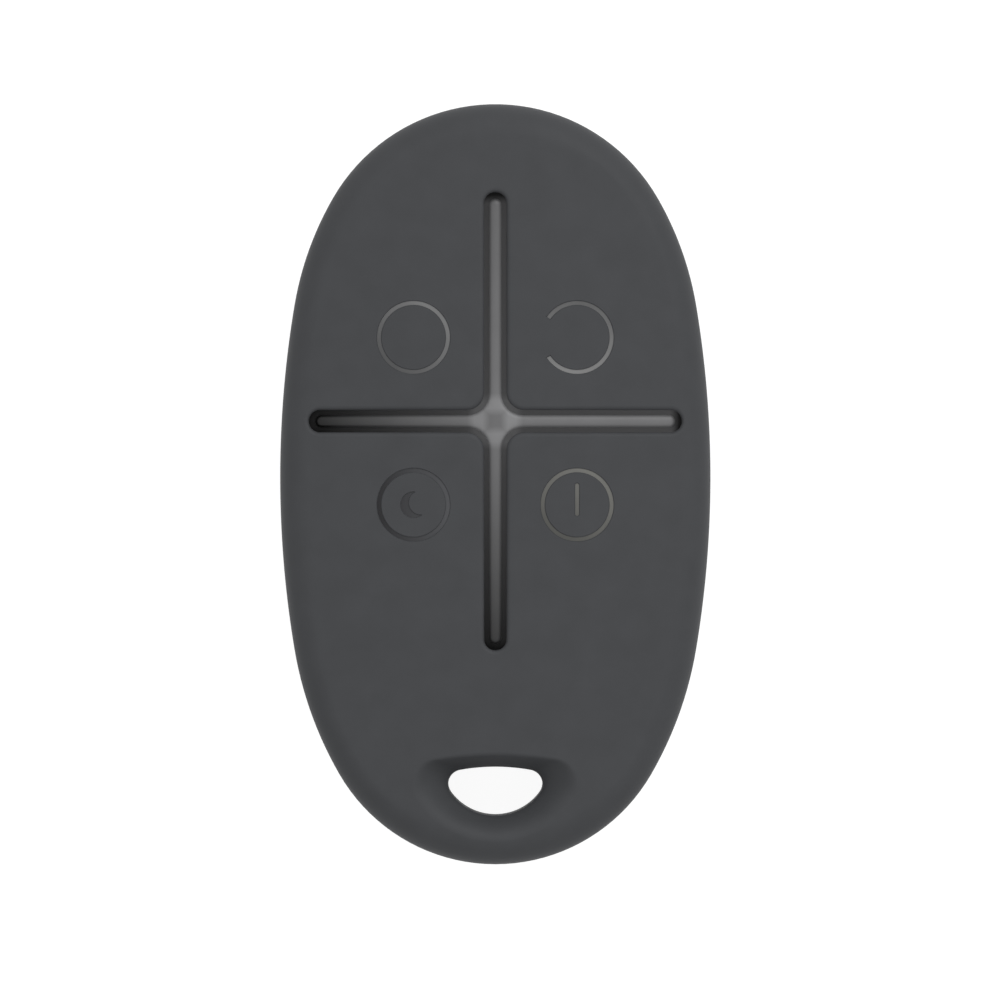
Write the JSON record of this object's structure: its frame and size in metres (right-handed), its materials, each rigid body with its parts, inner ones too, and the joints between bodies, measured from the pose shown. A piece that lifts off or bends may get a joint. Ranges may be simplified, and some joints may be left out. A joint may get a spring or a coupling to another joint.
{
  "type": "alarm key fob",
  "caption": "Flat oval alarm remote: crowned shell with four hinged press areas round a cross-shaped light guide, tactile switches, coin cell and a scooped key ring eyelet.",
  "frame": {"origin": "middle of the flat back face, on the surface that the fob lies on", "axes": "+X to the right of the face as seen from the front, +Y towards the end away from the eyelet, +Z out of the front face"},
  "size_m": [0.0368, 0.065, 0.01],
  "materials": {
    "shell": "fine soft-touch texture",
    "guide": "frosted",
    "board": "solder mask",
    "nickel": "nickel plated",
    "steel": "zinc plated",
    "seal": "plain",
    "package": "moulded",
    "switch": "moulded",
    "copper": "tinned",
    "lamp_green": "clear",
    "lamp_red": "clear"
  },
  "bodies": {
    "housing": {"front_cover": "shell", "back_cover": "shell", "light_guide": "guide", "circuit_board": "board", "battery_can": "nickel", "battery_gasket": "seal", "battery_cap": "nickel", "battery_clip": "nickel", "negative_contact": "nickel", "led_green": "lamp_green", "led_red": "lamp_red", "control_chip": "package", "radio_chip": "package", "crystal": "nickel", "passives": "package", "antenna": "copper", "case_screws": "steel", "switch_base_arm": "switch", "switch_frame_arm": "nickel", "switch_dome_arm": "nickel", "switch_base_disarm": "switch", "switch_frame_disarm": "nickel", "switch_dome_disarm": "nickel", "switch_base_night": "switch", "switch_frame_night": "nickel", "switch_dome_night": "nickel", "switch_base_panic": "switch", "switch_frame_panic": "nickel", "switch_dome_panic": "nickel"},
    "arm_flap": {"arm_button": "shell"},
    "arm_stem": {"switch_stem_arm": "switch"},
    "disarm_flap": {"disarm_button": "shell"},
    "disarm_stem": {"switch_stem_disarm": "switch"},
    "night_flap": {"night_button": "shell"},
    "night_stem": {"switch_stem_night": "switch"},
    "panic_flap": {"panic_button": "shell"},
    "panic_stem": {"switch_stem_panic": "switch"}
  },
  "joints": [
    {"name": "arm_press", "type": "hinge", "parent": "housing", "child": "arm_flap", "pos_m": [-0.0102, 0.01685, 0.0085], "axis": [0.6269, 0.7791, 0], "range_deg": [0, 3.27], "stiffness_Nm_per_rad": 0.1},
    {"name": "arm_click", "type": "slide", "parent": "housing", "child": "arm_stem", "axis": [0, 0, -1], "range_m": [0, 0.0003], "deforming": ["switch_dome_arm"]},
    {"name": "disarm_press", "type": "hinge", "parent": "housing", "child": "disarm_flap", "pos_m": [0.0102, 0.01685, 0.0085], "axis": [0.6269, -0.7791, 0], "range_deg": [0, 3.27], "stiffness_Nm_per_rad": 0.1},
    {"name": "disarm_click", "type": "slide", "parent": "housing", "child": "disarm_stem", "axis": [0, 0, -1], "range_m": [0, 0.0003], "deforming": ["switch_dome_disarm"]},
    {"name": "night_press", "type": "hinge", "parent": "housing", "child": "night_flap", "pos_m": [-0.0102, -0.00611, 0.0085], "axis": [-0.6269, 0.7791, 0], "range_deg": [0, 3.27], "stiffness_Nm_per_rad": 0.1},
    {"name": "night_click", "type": "slide", "parent": "housing", "child": "night_stem", "axis": [0, 0, -1], "range_m": [0, 0.0003], "deforming": ["switch_dome_night"]},
    {"name": "panic_press", "type": "hinge", "parent": "housing", "child": "panic_flap", "pos_m": [0.0102, -0.00611, 0.0085], "axis": [-0.6269, -0.7791, 0], "range_deg": [0, 3.27], "stiffness_Nm_per_rad": 0.1},
    {"name": "panic_click", "type": "slide", "parent": "housing", "child": "panic_stem", "axis": [0, 0, -1], "range_m": [0, 0.0003], "deforming": ["switch_dome_panic"]}
  ],
  "couplings": [
    {"joint": "arm_click", "follows": "arm_press", "m_per_rad": 0.0052475},
    {"joint": "disarm_click", "follows": "disarm_press", "m_per_rad": 0.0052475},
    {"joint": "night_click", "follows": "night_press", "m_per_rad": 0.0052475},
    {"joint": "panic_click", "follows": "panic_press", "m_per_rad": 0.0052475}
  ]
}
